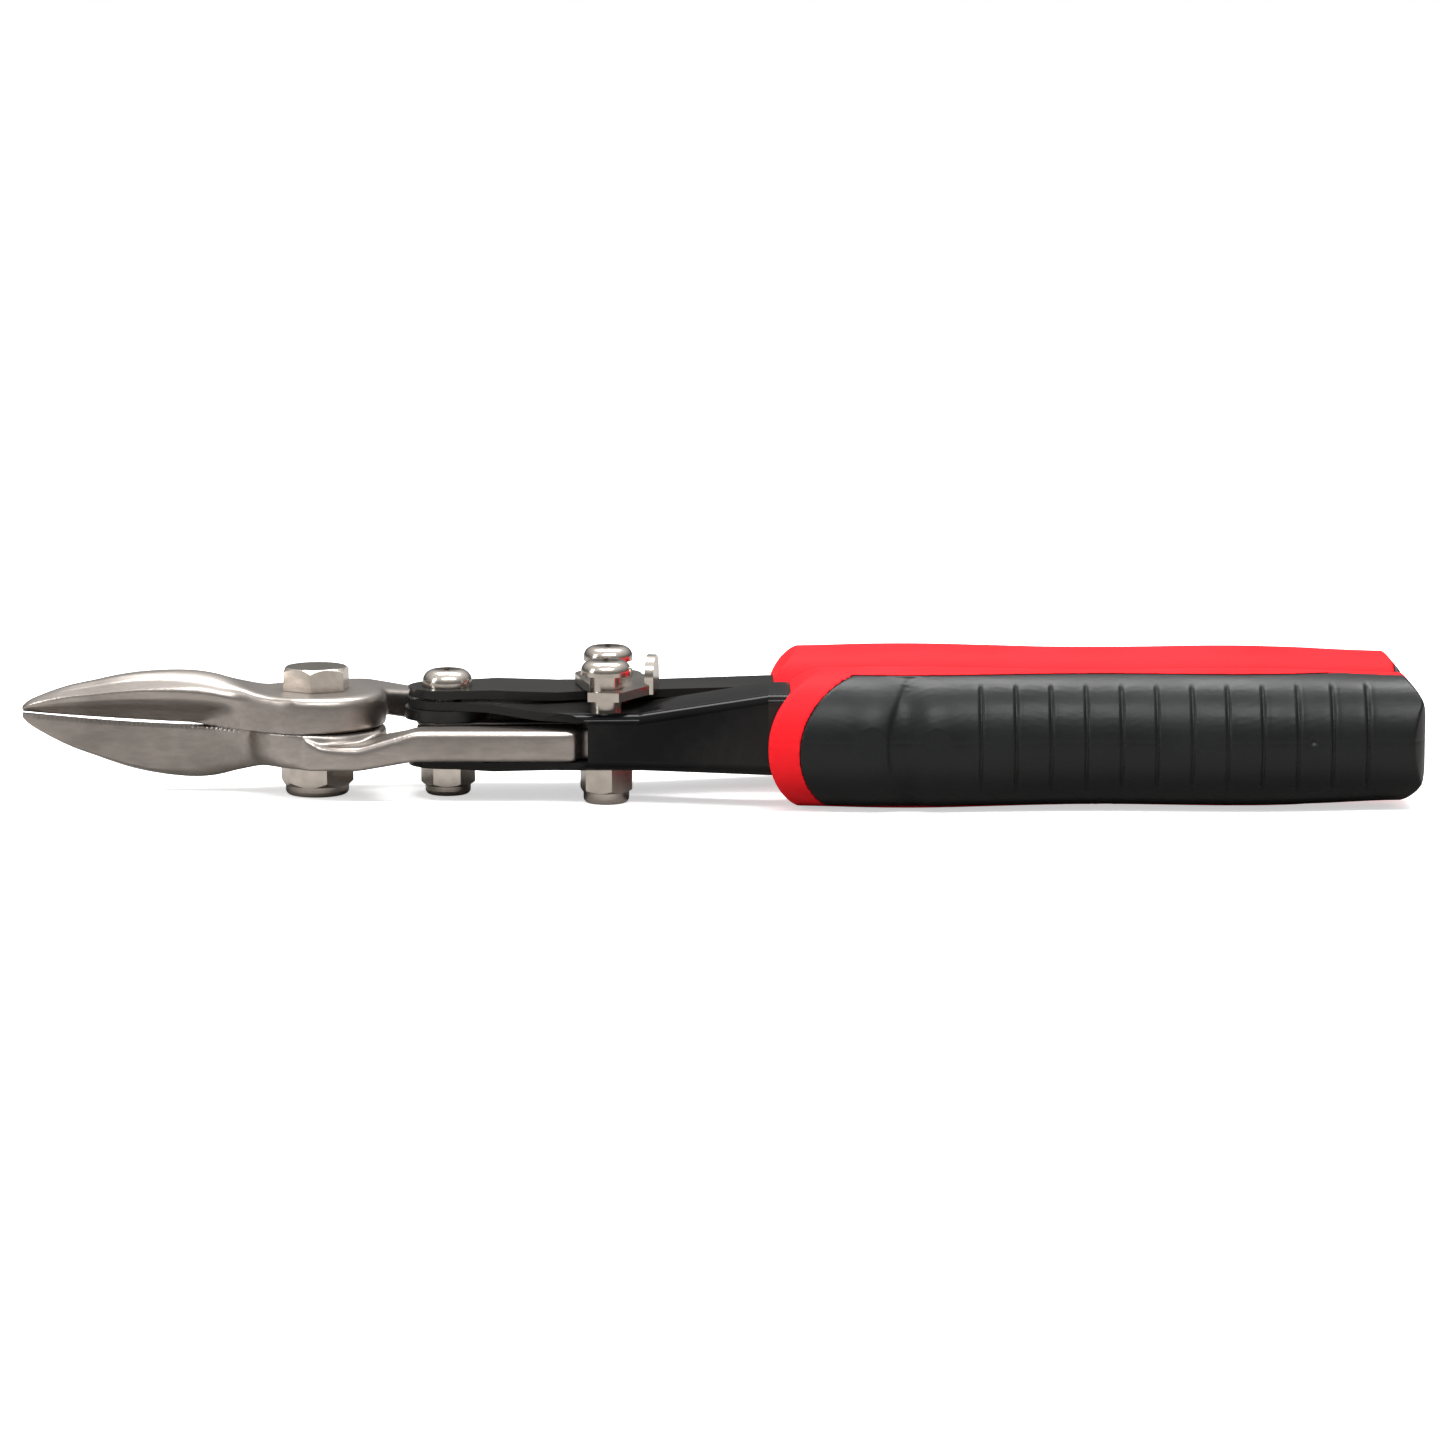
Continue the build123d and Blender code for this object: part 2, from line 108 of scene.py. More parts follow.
# ---- shader helpers ------------------------------------------------------
class Graph:
    """A node tree with short calls for adding and linking nodes."""

    def __init__(self, tree: bpy.types.NodeTree) -> None:
        """Keeps the tree that the calls work on."""
        self.tree = tree

    def add(self, kind: str, inputs: dict | None = None, **settings: object) -> bpy.types.Node:
        """Adds a node.

        Args:
            kind: The node's type, such as ShaderNodeMix.
            inputs: Socket name or index to a value, or to an output socket to link.
            **settings: Attributes to set before the sockets are filled.

        Returns:
            The new node.
        """
        node = self.tree.nodes.new(kind)
        for name, value in settings.items():
            setattr(node, name, value)
        for key, value in (inputs or {}).items():
            if isinstance(value, bpy.types.NodeSocket):
                self.tree.links.new(value, node.inputs[key])
            else:
                node.inputs[key].default_value = value
        return node

    def remap(self, value: bpy.types.NodeSocket, low: float, high: float,
              to: tuple[float, float]) -> bpy.types.NodeSocket:
        """Maps a value from low..high to a new span, clamped."""
        node = self.add("ShaderNodeMapRange", {0: value, 1: low, 2: high, 3: to[0], 4: to[1]})
        return node.outputs[0]

    def mix(self, factor: object, first: object, second: object) -> bpy.types.NodeSocket:
        """Mixes two colours, each given as a value or as a socket."""
        node = self.add("ShaderNodeMix", {0: factor, 6: first, 7: second}, data_type="RGBA")
        return node.outputs[2]

    def math(self, operation: str, first: object, second: object = 0.0) -> bpy.types.NodeSocket:
        """Adds a math node and returns its output."""
        return self.add("ShaderNodeMath", {0: first, 1: second}, operation=operation).outputs[0]


def rgb(red: float, green: float, blue: float) -> tuple[float, float, float, float]:
    """A colour with full alpha."""
    return (red, green, blue, 1.0)


def new_group(name: str, inputs: dict[str, float], outputs: Iterable[str]) -> tuple[Graph, object, object]:
    """Starts a shader node group.

    Args:
        name: The group's name.
        inputs: Float socket names with their default values.
        outputs: Float socket names.

    Returns:
        The graph, its input node and its output node.
    """
    tree = bpy.data.node_groups.new(name, "ShaderNodeTree")
    for key, default in inputs.items():
        socket = tree.interface.new_socket(name=key, in_out="INPUT", socket_type="NodeSocketFloat")
        socket.default_value = default
    for key in outputs:
        tree.interface.new_socket(name=key, in_out="OUTPUT", socket_type="NodeSocketFloat")
    graph = Graph(tree)
    return graph, graph.add("NodeGroupInput"), graph.add("NodeGroupOutput")


class Effects:
    """Shader node groups that more than one finish uses, built once."""

    def __init__(self) -> None:
        """Builds the groups."""
        self.grain = self._grain()
        self.mottle = self._mottle()
        # Mask for the painted highlight: a lighter colour on sharp convex edges.
        self.wear = self._wear()

    def _grain(self) -> bpy.types.NodeTree:
        """Fine directional scratches: long in X, short across."""
        defaults = {"Scale": 900.0, "Stretch": 0.06}
        graph, source, sink = new_group("brushed_grain", defaults, ["Height", "Tone"])
        position = graph.add("ShaderNodeTexCoord").outputs["Object"]
        stretch = graph.add("ShaderNodeCombineXYZ", {0: source.outputs["Stretch"], 1: 1.0, 2: 1.0})
        scaled = graph.add("ShaderNodeVectorMath", {0: position, 1: stretch.outputs[0]}, operation="MULTIPLY")
        fine = graph.add("ShaderNodeTexNoise", {"Vector": scaled.outputs[0], "Scale": source.outputs["Scale"],
                                                "Detail": 4.0, "Roughness": 0.6})
        wide = graph.add("ShaderNodeTexNoise", {"Vector": scaled.outputs[0], "Scale": 160.0, "Detail": 3.0})
        graph.tree.links.new(fine.outputs[0], sink.inputs["Height"])
        graph.tree.links.new(graph.math("MULTIPLY", fine.outputs[0], wide.outputs[0]), sink.inputs["Tone"])
        return graph.tree

    def _mottle(self) -> bpy.types.NodeTree:
        """Soft patches and fine specks, for handled surfaces and moulded skins."""
        graph, source, sink = new_group("mottle", {"Patch": 60.0, "Speck": 1500.0}, ["Patches", "Specks"])
        position = graph.add("ShaderNodeTexCoord").outputs["Object"]
        for scale, name in (("Patch", "Patches"), ("Speck", "Specks")):
            noise = graph.add("ShaderNodeTexNoise", {"Vector": position, "Scale": source.outputs[scale],
                                                     "Detail": 5.0, "Roughness": 0.55})
            graph.tree.links.new(noise.outputs[0], sink.inputs[name])
        return graph.tree

    def _wear(self) -> bpy.types.NodeTree:
        """Mask of the painted highlight on sharp convex edges: 1 on those edges, broken up by noise."""
        graph, source, sink = new_group("painted_edge_highlight", {"Sharpness": 12.0, "Breakup": 0.5}, ["Mask"])
        point = graph.add("ShaderNodeNewGeometry").outputs["Pointiness"]
        position = graph.add("ShaderNodeTexCoord").outputs["Object"]
        noise = graph.add("ShaderNodeTexNoise", {"Vector": position, "Scale": 420.0, "Detail": 4.0})
        lift = graph.math("SUBTRACT", point, 0.5)
        sharp = graph.math("MULTIPLY", lift, source.outputs["Sharpness"])
        broken = graph.math("MULTIPLY", noise.outputs[0], source.outputs["Breakup"])
        mask = graph.math("SUBTRACT", sharp, broken)
        clamped = graph.add("ShaderNodeClamp", {0: mask})
        graph.tree.links.new(clamped.outputs[0], sink.inputs["Mask"])
        return graph.tree


@dataclass(frozen=True)
class Metal:
    """A bare or plated metal finish.

    Args:
        name: The material's name.
        dark: Colour in the duller patches.
        light: Colour on clean metal.
        rough: Lowest and highest roughness.
        grain: Scale of the scratches.
        stretch: How much the scratches are drawn out along X; 1 is not at all.
        bump: Depth of the scratches.
    """

    name: str
    dark: tuple
    light: tuple
    rough: tuple[float, float]
    grain: float = 900.0
    stretch: float = 0.06
    bump: float = 0.08

    def build(self, effects: Effects) -> bpy.types.Material:
        """Makes the material."""
        material, graph, shader = start_material(self.name)
        grain = graph.add("ShaderNodeGroup", {}, node_tree=effects.grain)
        grain.inputs["Scale"].default_value = self.grain
        grain.inputs["Stretch"].default_value = self.stretch
        mottle = graph.add("ShaderNodeGroup", {}, node_tree=effects.mottle)
        tone = graph.remap(grain.outputs["Tone"], 0.12, 0.42, (0.0, 1.0))
        patch = graph.remap(mottle.outputs["Patches"], 0.35, 0.65, (0.0, 1.0))
        both = graph.math("MULTIPLY", graph.math("ADD", tone, patch), 0.5)
        graph.tree.links.new(graph.mix(both, self.dark, self.light), shader.inputs["Base Color"])
        rough = graph.remap(both, 0.0, 1.0, (self.rough[1], self.rough[0]))
        graph.tree.links.new(rough, shader.inputs["Roughness"])
        bump = graph.add("ShaderNodeBump", {"Strength": self.bump, "Distance": 0.00004,
                                            "Height": grain.outputs["Height"]})
        graph.tree.links.new(bump.outputs[0], shader.inputs["Normal"])
        shader.inputs["Metallic"].default_value = 1.0
        return material


@dataclass(frozen=True)
class Skin:
    """A painted, moulded or rubber finish.

    Args:
        name: The material's name.
        dark: Colour in the low patches.
        light: Colour in the high patches.
        rough: Lowest and highest roughness.
        speck: Scale of the surface texture.
        bump: Strength of the surface texture.
        specular: Strength of the plain gloss.
        worn: Colour of a painted highlight on sharp convex edges, or None for no painted highlight.
    """

    name: str
    dark: tuple
    light: tuple
    rough: tuple[float, float]
    speck: float = 1500.0
    bump: float = 0.1
    specular: float = 0.4
    worn: tuple | None = None

    def build(self, effects: Effects) -> bpy.types.Material:
        """Makes the material."""
        material, graph, shader = start_material(self.name)
        mottle = graph.add("ShaderNodeGroup", {}, node_tree=effects.mottle)
        mottle.inputs["Speck"].default_value = self.speck
        patch = graph.remap(mottle.outputs["Patches"], 0.35, 0.65, (0.0, 1.0))
        colour = graph.mix(patch, self.dark, self.light)
        # Painted highlight: a lighter colour laid on sharp convex edges.
        if self.worn:
            wear = graph.add("ShaderNodeGroup", {}, node_tree=effects.wear)
            colour = graph.mix(wear.outputs["Mask"], colour, self.worn)
        graph.tree.links.new(colour, shader.inputs["Base Color"])
        rough = graph.remap(patch, 0.0, 1.0, self.rough)
        graph.tree.links.new(rough, shader.inputs["Roughness"])
        bump = graph.add("ShaderNodeBump", {"Strength": self.bump, "Distance": 0.00006,
                                            "Height": mottle.outputs["Specks"]})
        graph.tree.links.new(bump.outputs[0], shader.inputs["Normal"])
        shader.inputs["Specular IOR Level"].default_value = self.specular
        return material


def start_material(name: str) -> tuple[bpy.types.Material, Graph, bpy.types.Node]:
    """A new node material with its Principled shader."""
    material = bpy.data.materials.new(name)
    material.use_nodes = True
    graph = Graph(material.node_tree)
    return material, graph, material.node_tree.nodes["Principled BSDF"]


FINISHES = {
    Slot.BLADE: Metal("satin_blade_steel", rgb(0.27, 0.24, 0.218), rgb(0.50, 0.455, 0.42), (0.28, 0.42),
                      grain=1100.0, stretch=0.25, bump=0.22),
    Slot.NICKEL: Metal("bright_nickel", rgb(0.50, 0.45, 0.40), rgb(0.74, 0.68, 0.61), (0.16, 0.26),
                       grain=700.0, stretch=1.0, bump=0.12),
    Slot.SPRING: Metal("spring_steel_oiled", rgb(0.20, 0.19, 0.18), rgb(0.38, 0.36, 0.34), (0.28, 0.42)),
    # The enamel's lighter colour on sharp convex edges is a painted highlight.
    Slot.ENAMEL: Skin("black_enamel", rgb(0.0025, 0.0025, 0.003), rgb(0.0045, 0.0045, 0.005), (0.09, 0.16),
                      speck=260.0, bump=0.05, specular=0.11, worn=rgb(0.02, 0.019, 0.018)),
    Slot.BLACK_NYLON: Skin("black_nylon", rgb(0.008, 0.008, 0.008), rgb(0.012, 0.012, 0.012), (0.32, 0.45)),
    Slot.NYLON: Skin("natural_nylon", rgb(0.60, 0.61, 0.57), rgb(0.72, 0.73, 0.68), (0.35, 0.5)),
    Slot.RED: Skin("red_moulding", rgb(0.86, 0.014, 0.020), rgb(0.95, 0.020, 0.028), (0.48, 0.58),
                   speck=1800.0, bump=0.08, specular=0.05),
    Slot.SOFT: Skin("soft_black_grip", rgb(0.0065, 0.007, 0.0075), rgb(0.0100, 0.0108, 0.0112), (0.34, 0.44),
                    speck=2600.0, bump=0.26, specular=0.26),
}


# ---- mesh helpers --------------------------------------------------------
def mesh_object(name: str, mesh: bpy.types.Mesh, smooth_angle: float | None = 35.0) -> bpy.types.Object:
    """Links a mesh as an object with smooth shading.

    Args:
        name: The object's name.
        mesh: Its mesh.
        smooth_angle: Edges sharper than this, in degrees, stay hard; None softens them all.

    Returns:
        The new object.
    """
    obj = bpy.data.objects.new(name, mesh)
    bpy.context.scene.collection.objects.link(obj)
    mesh.shade_smooth()
    if smooth_angle is not None:
        mesh.set_sharp_from_angle(angle=math.radians(smooth_angle))
    return obj


def bell(offset: np.ndarray, width: float) -> np.ndarray:
    """A bell curve of height 1."""
    return np.exp(-0.5 * (offset / width) ** 2)


def between(value: np.ndarray, low: float, high: float, blur: float) -> np.ndarray:
    """1 between two limits and 0 outside them, with soft ends."""
    return 0.5 * (np.tanh((value - low) / blur) - np.tanh((value - high) / blur))


def read_points(mesh: bpy.types.Mesh, what: str = "co") -> np.ndarray:
    """One row of three numbers for each vertex: its place, or its normal."""
    values = np.zeros(len(mesh.vertices) * 3)
    mesh.vertices.foreach_get(what, values)
    return values.reshape(-1, 3)


def write_points(mesh: bpy.types.Mesh, points: np.ndarray) -> None:
    """Moves the vertices to new places."""
    mesh.vertices.foreach_set("co", points.ravel())
    mesh.update()


def frozen_copy(obj: bpy.types.Object, name: str) -> bpy.types.Mesh:
    """The object's mesh, under a new name, with its modifiers worked in."""
    depsgraph = bpy.context.evaluated_depsgraph_get()
    mesh = bpy.data.meshes.new_from_object(obj.evaluated_get(depsgraph))
    mesh.name = name
    return mesh


def relax(mesh: bpy.types.Mesh, passes: int, hold: Callable[[np.ndarray], np.ndarray],
          steps: tuple[float, ...] = (0.55, -0.50)) -> None:
    """Smooths a mesh; with a widening step after each smoothing one it hardly shrinks.

    Args:
        mesh: The mesh to change.
        passes: How many times the steps are gone through.
        hold: Takes the points and returns how free each is, from 0, held, to 1, free.
        steps: Shares of the way to the neighbours' mean that one pass moves a point.
    """
    points = read_points(mesh)
    count = len(points)
    edges = np.zeros(len(mesh.edges) * 2, dtype=np.int64)
    mesh.edges.foreach_get("vertices", edges)
    edges = edges.reshape(-1, 2)
    degree = np.bincount(edges.ravel(), minlength=count).astype(float)[:, None]
    free = hold(points)[:, None]
    for _ in range(passes):
        for step in steps:
            total = np.zeros_like(points)
            for axis in range(3):
                total[:, axis] += np.bincount(edges[:, 0], points[edges[:, 1], axis], count)
                total[:, axis] += np.bincount(edges[:, 1], points[edges[:, 0], axis], count)
            points = points + step * free * (total / np.maximum(degree, 1) - points)
    write_points(mesh, points)


class Workshop:
    """What every sub-assembly needs: the frame, the finishes and the calls that place a piece."""

    def __init__(self, frame: dict) -> None:
        """Builds the finishes and reads the frame."""
        self.frame = frame
        self.effects = Effects()
        self.materials = {slot: finish.build(self.effects) for slot, finish in FINISHES.items()}
        self.body_of = {n: b for b, nodes in frame["record"]["behaviour"]["bodies"].items() for n in nodes}

    def dress(self, obj: bpy.types.Object, slot: Slot) -> None:
        """Gives an object one finish."""
        obj.data.materials.clear()
        obj.data.materials.append(self.materials[slot])

    def place(self, obj: bpy.types.Object, slot: Slot, node: str) -> None:
        """Finishes a new piece and puts it on the body of the node it stands for.

        Args:
            obj: The new piece.
            slot: Its finish.
            node: The CAD node that it stands for.
        """
        self.dress(obj, slot)
        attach(obj, self.body_of[node])
        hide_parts(node)
        LOG.info("piece %s: %d faces", obj.name, len(obj.data.polygons))

    def centre(self, node: str) -> Vector:
        """Middle of a CAD node's box."""
        low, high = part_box(node)
        return (low + high) / 2


@dataclass
class Softened:
    """A CAD node remade as one even skin with rounded edges, like a forging or a pressing.

    Args:
        node: The CAD node.
        slot: Its finish.
        voxel: Size of the new faces.
        passes: How much the edges are rounded.
        hold: How free each point is to be rounded, from 0 to 1.
        hard_angle: Edges sharper than this, in degrees, stay hard.
    """

    node: str
    slot: Slot
    voxel: float
    passes: int
    hold: Callable[[np.ndarray], np.ndarray] = field(default=lambda points: np.ones(len(points)))
    hard_angle: float = 40.0

    def build(self, shop: Workshop) -> bpy.types.Object:
        """Makes, finishes and places the piece."""
        source = shop.frame["nodes"][self.node]
        draft = bpy.data.objects.new(f"{self.node}_draft", source.data.copy())
        bpy.context.scene.collection.objects.link(draft)
        remesh = draft.modifiers.new("even", "REMESH")
        remesh.mode = "VOXEL"
        remesh.voxel_size = self.voxel
        mesh = frozen_copy(draft, f"{self.node}_skin")
        bpy.data.objects.remove(draft)
        relax(mesh, self.passes, self.hold)
        obj = mesh_object(f"{self.node}_skin", mesh, self.hard_angle)
        shop.place(obj, self.slot, self.node)
        return obj


@dataclass
class Blade:
    """A forged blade: its back flows into the pivot plate, and its bearing face carries fine teeth.

    Distances along X are measured from the main pivot towards the grips, unless said otherwise.

    Args:
        node: The CAD node.
        over: 1 for the blade above the shear line, -1 for the one below it.
        leaf_length: From the rim of the plate to the tip.
        tip_rise: How far the shear line climbs over that length.
        rise_power: How late along the leaf the shear line climbs.
        voxel: Size of the new faces.
        round_passes: How much all the edges are rounded.
        flow_passes: How much the back and the root of the leaf are smoothed together.
        clear: Height above the bearing face over which the forging becomes free to round.
        tip_hold: Length of the tip that keeps its shape better.
        root: Middle of the leaf's root, which flows most, and the width of that region.
        tang_reach: Ends of the tang, which flows a little.
        tang_flow: How freely the tang flows.
        bore_keep: Radius round the main bolt that stays true.
        tip_gap: Half of the gap between the edges at the tip.
        edge_gap: How much the bow adds to it at mid length.
        ground_depth: How far from the edge the grinding shifts the leaf.
        slots: Stretches that the leaf is measured in.
        face_y: Distance from the centre line at which the bearing face begins.
        teeth_pitch: Distance between the teeth along the edge.
        teeth_depth: How far the teeth are cut in.
        teeth_length: How far the teeth run down the face.
        teeth_run: Where they start and end, as shares of the way from the tip to the plate.
    """

    node: str
    over: int
    leaf_length: float = 40.0 * MM
    tip_rise: float = 2.3 * MM
    rise_power: float = 1.7
    voxel: float = 0.22 * MM
    round_passes: int = 10
    flow_passes: int = 150
    clear: float = 1.3 * MM
    tip_hold: float = 3.0 * MM
    root: tuple[float, float] = (-14.0 * MM, 6.5 * MM)
    tang_reach: tuple[float, float] = (2.0 * MM, 48.0 * MM)
    tang_flow: float = 0.45
    bore_keep: float = 6.5 * MM
    tip_gap: float = 0.02 * MM
    edge_gap: float = 0.13 * MM
    ground_depth: float = 2.0 * MM
    slots: int = 40
    face_y: float = 0.25 * MM
    teeth_pitch: float = 0.85 * MM
    teeth_depth: float = 0.09 * MM
    teeth_length: float = 0.75 * MM
    teeth_run: tuple[float, float] = (0.06, 0.97)
    pivot: Vector = field(init=False)
    tip_x: float = field(init=False)

    def build(self, shop: Workshop) -> None:
        """Makes the blade."""
        self.pivot = shop.centre("main_pivot_bolt")
        self.tip_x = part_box(self.node)[0].x
        obj = Softened(self.node, Slot.BLADE, self.voxel, self.round_passes, self._hold).build(shop)
        relax(obj.data, self.flow_passes, self._flow, (0.5,))
        self._grind(obj.data)

    def _grind(self, mesh: bpy.types.Mesh) -> None:
        """Grinds the edge to a slim bow that closes at the tip, and cuts the fine teeth beside it."""
        points = read_points(mesh)
        height = self._height(points)
        start, end = self.tip_x, self.pivot.x - PLATE_RADIUS
        run = np.clip((points[:, 0] - start) / (end - start), 0.0, 1.0)
        slot = np.floor((points[:, 0] - start) / (end - start) * self.slots).astype(int)
        leaf = (slot >= 0) & (slot < self.slots)
        lowest = np.full(self.slots, 1.0)
        np.minimum.at(lowest, slot[leaf], height[leaf])
        middles = start + (np.arange(self.slots) + 0.5) * (end - start) / self.slots
        present = np.interp(points[:, 0], middles, lowest)
        wanted = self.tip_gap + self.edge_gap * np.sin(math.pi * run) ** 1.5
        share = np.clip(1.0 - height / self.ground_depth, 0.0, 1.0) * leaf
        points[:, 2] += self.over * (wanted - present) * share
        points[:, 1] += self._teeth(points, height, run)
        write_points(mesh, points)

    def _teeth(self, points: np.ndarray, height: np.ndarray, run: np.ndarray) -> np.ndarray:
        """Cuts the teeth.

        Args:
            points: The blade's points.
            height: Distance of each point from the shear line.
            run: Share of the way from the tip to the plate.

        Returns:
            How far each point moves along Y.
        """
        blur = 0.15 * MM
        facing = np.clip((points[:, 1] * self.over - self.face_y) / blur, 0.0, 1.0)
        on_face = facing * between(run, *self.teeth_run, 0.03)
        beside_edge = between(height, -1.0 * MM, self.teeth_length, 0.12 * MM)
        wave = np.cos(points[:, 0] * math.tau / self.teeth_pitch) - 1.0
        return self.over * self.teeth_depth * wave * on_face * beside_edge

    def _shear(self, points: np.ndarray) -> np.ndarray:
        """Height of the shear line under each point."""
        run = np.clip((self.pivot.x - points[:, 0] - PLATE_RADIUS) / self.leaf_length, 0.0, 1.0)
        return SHEAR_HEIGHT + self.tip_rise * run ** self.rise_power

    def _height(self, points: np.ndarray) -> np.ndarray:
        """Distance of each point from the shear line, on this blade's side."""
        return (points[:, 2] - self._shear(points)) * self.over

    def _hold(self, points: np.ndarray) -> np.ndarray:
        """Keeps the cutting edge and the bearing faces true."""
        near_edge = np.clip(self._height(points) / self.clear - 0.25, 0.0, 1.0)
        at_tip = np.clip((points[:, 0] - self.tip_x) / self.tip_hold, 0.25, 1.0)
        return near_edge * at_tip

    def _flow(self, points: np.ndarray) -> np.ndarray:
        """Frees the root of the leaf and the tang, but not the bearing face or the bore."""
        from_pivot = points[:, 0] - self.pivot.x
        off_face = np.clip(self._height(points) / (1.6 * MM) - 0.6, 0.0, 1.0)
        root = bell(from_pivot - self.root[0], self.root[1]) * off_face
        tang = self.tang_flow * between(from_pivot, *self.tang_reach, 3.0 * MM)
        from_bore = np.hypot(from_pivot, points[:, 1] - self.pivot.y)
        return np.maximum(root, tang) * np.clip(from_bore / self.bore_keep - 0.5, 0.0, 1.0)


@dataclass
class Grip:
    """One grip: a red sleeve and a soft outer panel with a finger hollow, ribs and a parting line.

    Distances along X are measured from the front of the panel, heights from the middle plane.

    Args:
        side: Which half of the tool it is on.
        crests: Places of the two soft swellings beside the finger hollow.
        crest_widths: Their widths.
        crest_lifts: How far they stand out.
        hollow: Middle of the finger hollow.
        hollow_width: Its width.
        hollow_depth: Its depth.
        crease: Where the moulded crease crosses the middle plane.
        crease_bow: How much the crease bends back with height, in 1/m.
        crease_step: Half of the step at the crease.
        rib_start: First rib.
        rib_pitch: Distance between ribs.
        rib_count: Number of ribs.
        rib_ends: Lower and upper end of the ribs.
        rib_lip: Height and width of the raised lips beside each rib's groove.
        rib_cut: Depth and width of the groove.
        pit: Place of the moulding pit, along and up.
        pit_cut: Its depth and width.
        parting_height: Height of the line where the halves of the mould met.
        parting_cut: Depth and width of that line.
        sleeve_voxel: Size of the sleeve's new faces.
        panel_voxel: Size of the panel's new faces.
        round_passes: How much the edges of both are rounded.
    """

    side: Side
    crests: tuple[float, float] = (12.3 * MM, 23.6 * MM)
    crest_widths: tuple[float, float] = (2.3 * MM, 2.4 * MM)
    crest_lifts: tuple[float, float] = (0.60 * MM, 0.65 * MM)
    hollow: float = 18.2 * MM
    hollow_width: float = 2.3 * MM
    hollow_depth: float = 1.25 * MM
    crease: float = 15.3 * MM
    crease_bow: float = 26.0
    crease_step: float = 0.26 * MM
    rib_start: float = 31.6 * MM
    rib_pitch: float = 6.14 * MM
    rib_count: int = 12
    rib_ends: tuple[float, float] = (-7.7 * MM, 9.8 * MM)
    rib_lip: tuple[float, float] = (0.20 * MM, 0.62 * MM)
    rib_cut: tuple[float, float] = (0.62 * MM, 0.25 * MM)
    pit: tuple[float, float] = (89.4 * MM, 1.0 * MM)
    pit_cut: tuple[float, float] = (0.45 * MM, 0.42 * MM)
    parting_height: float = 0.6 * MM
    parting_cut: tuple[float, float] = (0.07 * MM, 0.2 * MM)
    sleeve_voxel: float = 0.34 * MM
    panel_voxel: float = 0.25 * MM
    round_passes: int = 7
    low: Vector = field(init=False)
    high: Vector = field(init=False)

    def build(self, shop: Workshop) -> None:
        """Makes both pieces of the grip."""
        cover = f"{self.side.word}_grip_cover"
        self.low, self.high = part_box(cover)
        sleeve = f"{self.side.word}_grip_sleeve"
        skin = Softened(sleeve, Slot.RED, self.sleeve_voxel, self.round_passes).build(shop).data
        self._emboss(skin, self._parting)
        panel = Softened(cover, Slot.SOFT, self.panel_voxel, self.round_passes).build(shop).data
        self._emboss(panel, self._relief)
        points = read_points(panel)
        points[:, 1] = np.clip(points[:, 1], self.low.y, self.high.y)
        write_points(panel, points)

    def _emboss(self, mesh: bpy.types.Mesh, relief: Callable[[np.ndarray], np.ndarray]) -> None:
        """Works a relief into the outer face.

        Args:
            mesh: The skin to change.
            relief: Takes points and returns how far each moves outwards.
        """
        points = read_points(mesh)
        normals = read_points(mesh, "normal")
        outward = np.clip(normals[:, 1] * self.side.value * 1.6, 0.0, 1.0)
        write_points(mesh, points + normals * (relief(points) * outward)[:, None])

    def _height(self, points: np.ndarray) -> np.ndarray:
        """Height above the middle plane, as this half of the tool sees it."""
        return (points[:, 2] - SHEAR_HEIGHT) * -self.side.value

    def _parting(self, points: np.ndarray) -> np.ndarray:
        """The fine line where the halves of the mould met."""
        depth, width = self.parting_cut
        return -depth * bell(self._height(points) - self.parting_height, width)

    def _relief(self, points: np.ndarray) -> np.ndarray:
        """How far each point of the panel moves outwards."""
        along = points[:, 0] - self.low.x
        height = self._height(points)
        return (self._finger_rest(along, height) + self._ribs(along, height)
                + self._pit(along, height) + self._parting(points))

    def _finger_rest(self, along: np.ndarray, height: np.ndarray) -> np.ndarray:
        """Two swellings, the hollow between them and the crease in front of it."""
        middle = bell(height - 1.5 * MM, 6.5 * MM)
        move = np.zeros(len(along))
        for place, width, lift in zip(self.crests, self.crest_widths, self.crest_lifts):
            move += lift * middle * bell(along - place, width)
        move -= self.hollow_depth * bell(height, 9.0 * MM) * bell(along - self.hollow, self.hollow_width)
        past = along - self.crease - height ** 2 * self.crease_bow
        step = np.tanh(-past / (0.35 * MM)) * bell(past, 2.2 * MM)
        return move + self.crease_step * bell(height, 9.0 * MM) * step

    def _ribs(self, along: np.ndarray, height: np.ndarray) -> np.ndarray:
        """Short upright grooves with raised lips."""
        inside = between(height, *self.rib_ends, 0.45 * MM)
        move = np.zeros(len(along))
        for index in range(self.rib_count):
            offset = along - self.rib_start - index * self.rib_pitch
            lip = self.rib_lip[0] * bell(offset, self.rib_lip[1])
            cut = self.rib_cut[0] * bell(offset, self.rib_cut[1])
            move += inside * (lip - cut)
        return move

    def _pit(self, along: np.ndarray, height: np.ndarray) -> np.ndarray:
        """The small round pit that the mould left."""
        distance = np.hypot(along - self.pit[0], height - self.pit[1])
        depth, width = self.pit_cut
        return -depth * bell(distance, width)


